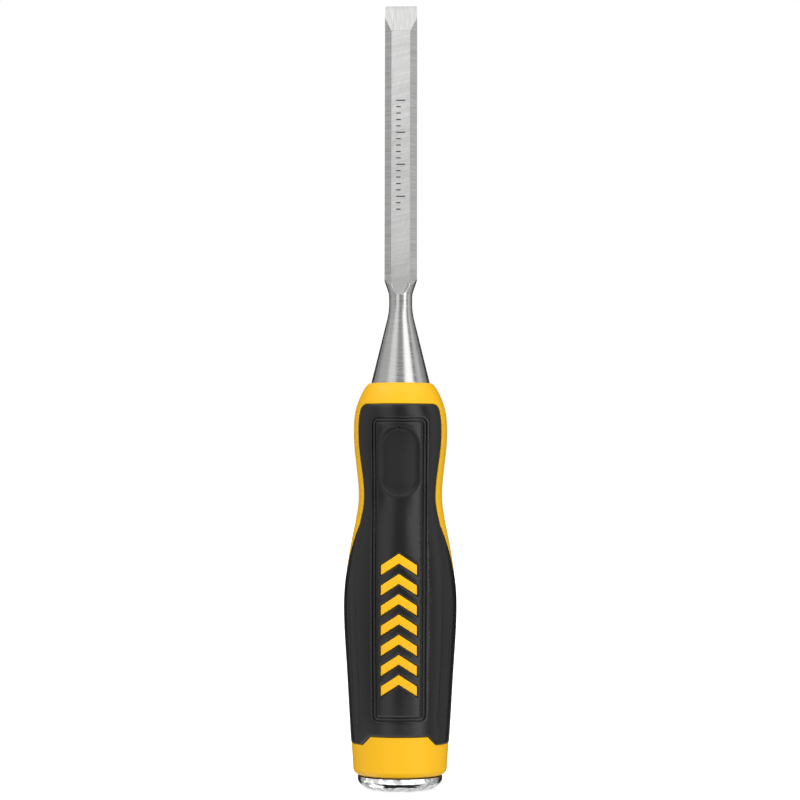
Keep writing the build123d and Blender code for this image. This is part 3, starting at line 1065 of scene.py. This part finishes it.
def build_world():
    """The soft lights on a dim surround. The camera itself sees plain white."""
    world = bpy.data.worlds.new("studio")
    bpy.context.scene.world = world
    world.use_nodes = True
    tree = world.node_tree
    tree.nodes.clear()
    direction = node(tree, "ShaderNodeTexCoord").outputs["Generated"]
    split = node(tree, "ShaderNodeSeparateXYZ", {"Vector": direction})
    x, y, z = split.outputs
    azimuth = calc(tree, "DEGREES", calc(tree, "ARCTAN2", x, calc(tree, "MULTIPLY", y, -1.0)))
    elevation = calc(tree, "DEGREES", calc(tree, "ARCSINE", z))
    ahead = soft_window(tree, azimuth, *AHEAD, AROUND_SOFT)
    behind = calc(tree, "SUBTRACT", 1.0, ahead)
    above_floor = soft_window(tree, elevation, DARK_BELOW, PAST_ZENITH, FLOOR_SOFT)
    open_air = calc(tree, "MULTIPLY", ahead, above_floor)
    total = calc(tree, "MULTIPLY_ADD", open_air, AMBIENT - BACK_AMBIENT, BACK_AMBIENT)
    low, high, strength = BEHIND_BELOW
    under = calc(tree, "MULTIPLY", soft_window(tree, elevation, low, high, LOW_SOFT), behind)
    total = calc(tree, "MULTIPLY_ADD", under, strength, total)
    rear = calc(tree, "SUBTRACT", 1.0, soft_window(tree, azimuth, *ALL_BUT_REAR, AROUND_SOFT))
    for low, high, strength in REAR_LIGHTS:
        up = soft_window(tree, elevation, low, high, REAR_SOFT)
        total = calc(tree, "MULTIPLY_ADD", calc(tree, "MULTIPLY", up, rear), strength, total)
    for left, right, low, high, soft, strength in SOFT_LIGHTS:
        across = soft_window(tree, azimuth, left, right, soft)
        up = soft_window(tree, elevation, low, high, soft)
        total = calc(tree, "MULTIPLY_ADD", calc(tree, "MULTIPLY", across, up), strength, total)
    seen = node(tree, "ShaderNodeLightPath").outputs["Is Camera Ray"]
    shown = calc(tree, "ADD", calc(tree, "MULTIPLY", total, calc(tree, "SUBTRACT", 1.0, seen)), seen)
    background = node(tree, "ShaderNodeBackground", {"Color": (1, 1, 1, 1), "Strength": shown})
    output = node(tree, "ShaderNodeOutputWorld")
    tree.links.new(background.outputs[0], output.inputs["Surface"])


FLOOR_HALF = 6.0


def build_floor():
    mesh = bpy.data.meshes.new("floor")
    corners = [(FLOOR_HALF * x, FLOOR_HALF * y, 0) for x, y in ((-1, -1), (1, -1), (1, 1), (-1, 1))]
    mesh.from_pydata(corners, [], [(0, 1, 2, 3)])
    material = bpy.data.materials.new("floor_paper")
    material.use_nodes = True
    shader = material.node_tree.nodes["Principled BSDF"]
    shader.inputs["Base Color"].default_value = (0.8, 0.8, 0.8, 1)
    shader.inputs["Roughness"].default_value = 0.9
    shader.inputs["Specular IOR Level"].default_value = 0.1
    shader.inputs["Emission Color"].default_value = (1, 1, 1, 1)
    shader.inputs["Emission Strength"].default_value = 0.62
    mesh.materials.append(material)
    floor = bpy.data.objects.new("floor", mesh)
    bpy.context.scene.collection.objects.link(floor)
    floor.visible_glossy = False
    floor.visible_diffuse = False


CARD_RADII = (0.0225, 0.090)
CARD_Z = -0.003
CARD_SWEEP = (radians(-95), radians(62))
CARD_STRENGTH = 0.86
CARD_POINTS = 33


def build_card():
    """A white card sweeping round the front of the strike cap, seen only in its reflection."""
    steps = np.linspace(*CARD_SWEEP, CARD_POINTS)
    points = [(r * sin(a), -r * cos(a), CARD_Z) for r in CARD_RADII for a in steps]
    mesh = bpy.data.meshes.new("card")
    mesh.from_pydata(points, [], ring_faces(2, len(steps), wrap=False))
    material = bpy.data.materials.new("card_white")
    material.use_nodes = True
    shader = material.node_tree.nodes["Principled BSDF"]
    shader.inputs["Base Color"].default_value = (0.8, 0.8, 0.8, 1)
    shader.inputs["Emission Color"].default_value = (1, 1, 1, 1)
    shader.inputs["Emission Strength"].default_value = CARD_STRENGTH
    mesh.materials.append(material)
    card = bpy.data.objects.new("card", mesh)
    bpy.context.scene.collection.objects.link(card)
    card.visible_camera = False
    card.visible_diffuse = False
    card.visible_shadow = False


EYE_HEIGHT = 0.096
EYE_DISTANCE = 0.860
EYE_AZIMUTH = radians(1.5)
PITCH = radians(1.318)
AIM_X = -0.00016
ROLL = radians(0.075)
HALF_VIEW = radians(8.233)
SHIFT = 0.02
SENSOR_WIDTH = 36


def build_camera():
    data = bpy.data.cameras.new("camera")
    data.sensor_width = SENSOR_WIDTH
    data.lens = SENSOR_WIDTH / 2 / tan(HALF_VIEW)
    data.shift_y = SHIFT
    camera = bpy.data.objects.new("camera", data)
    bpy.context.scene.collection.objects.link(camera)
    eye = Vector((sin(EYE_AZIMUTH), -cos(EYE_AZIMUTH), 0)) * EYE_DISTANCE + Vector((0, 0, EYE_HEIGHT))
    aim = Vector((AIM_X, 0, EYE_HEIGHT + EYE_DISTANCE * tan(PITCH))) - eye
    turn = aim.to_track_quat("-Z", "Y").to_matrix() @ Matrix.Rotation(ROLL, 3, "Z")
    camera.matrix_world = Matrix.Translation(eye) @ turn.to_4x4()
    bpy.context.scene.camera = camera


build_world()
build_floor()
build_card()
build_camera()
bpy.context.scene.view_settings.view_transform = "Standard"

bpy.context.view_layer.update()
